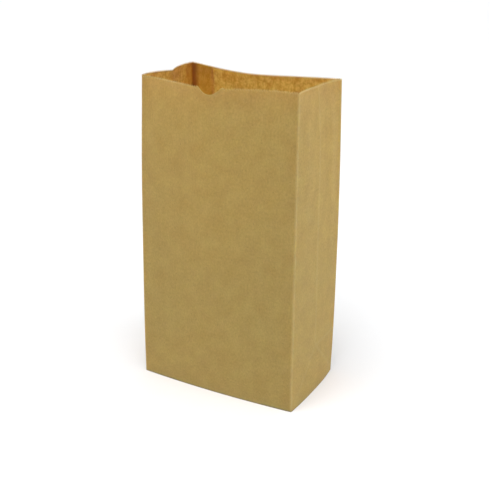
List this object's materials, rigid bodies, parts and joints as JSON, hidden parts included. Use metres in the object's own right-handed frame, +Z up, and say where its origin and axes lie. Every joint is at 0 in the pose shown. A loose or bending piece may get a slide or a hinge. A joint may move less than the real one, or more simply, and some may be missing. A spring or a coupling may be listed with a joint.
{
  "type": "square-bottom paper bag",
  "caption": "Open kraft paper bag with a flat rectangular bottom, side gussets, a toothed cut mouth and a thumb notch in the front panel.",
  "frame": {"origin": "on the ground, under the middle of the box round the whole bag", "axes": "+Z up along the bag's height, +X across the front panel to the viewer's right, +Y from the front panel with the thumb notch to the back panel, along the short side"},
  "size_m": [0.1576, 0.1094, 0.281],
  "materials": {
    "kraft_paper": "matt, uncoated, unbleached"
  },
  "bodies": {
    "root": {"bag": "kraft_paper"}
  },
  "joints": []
}
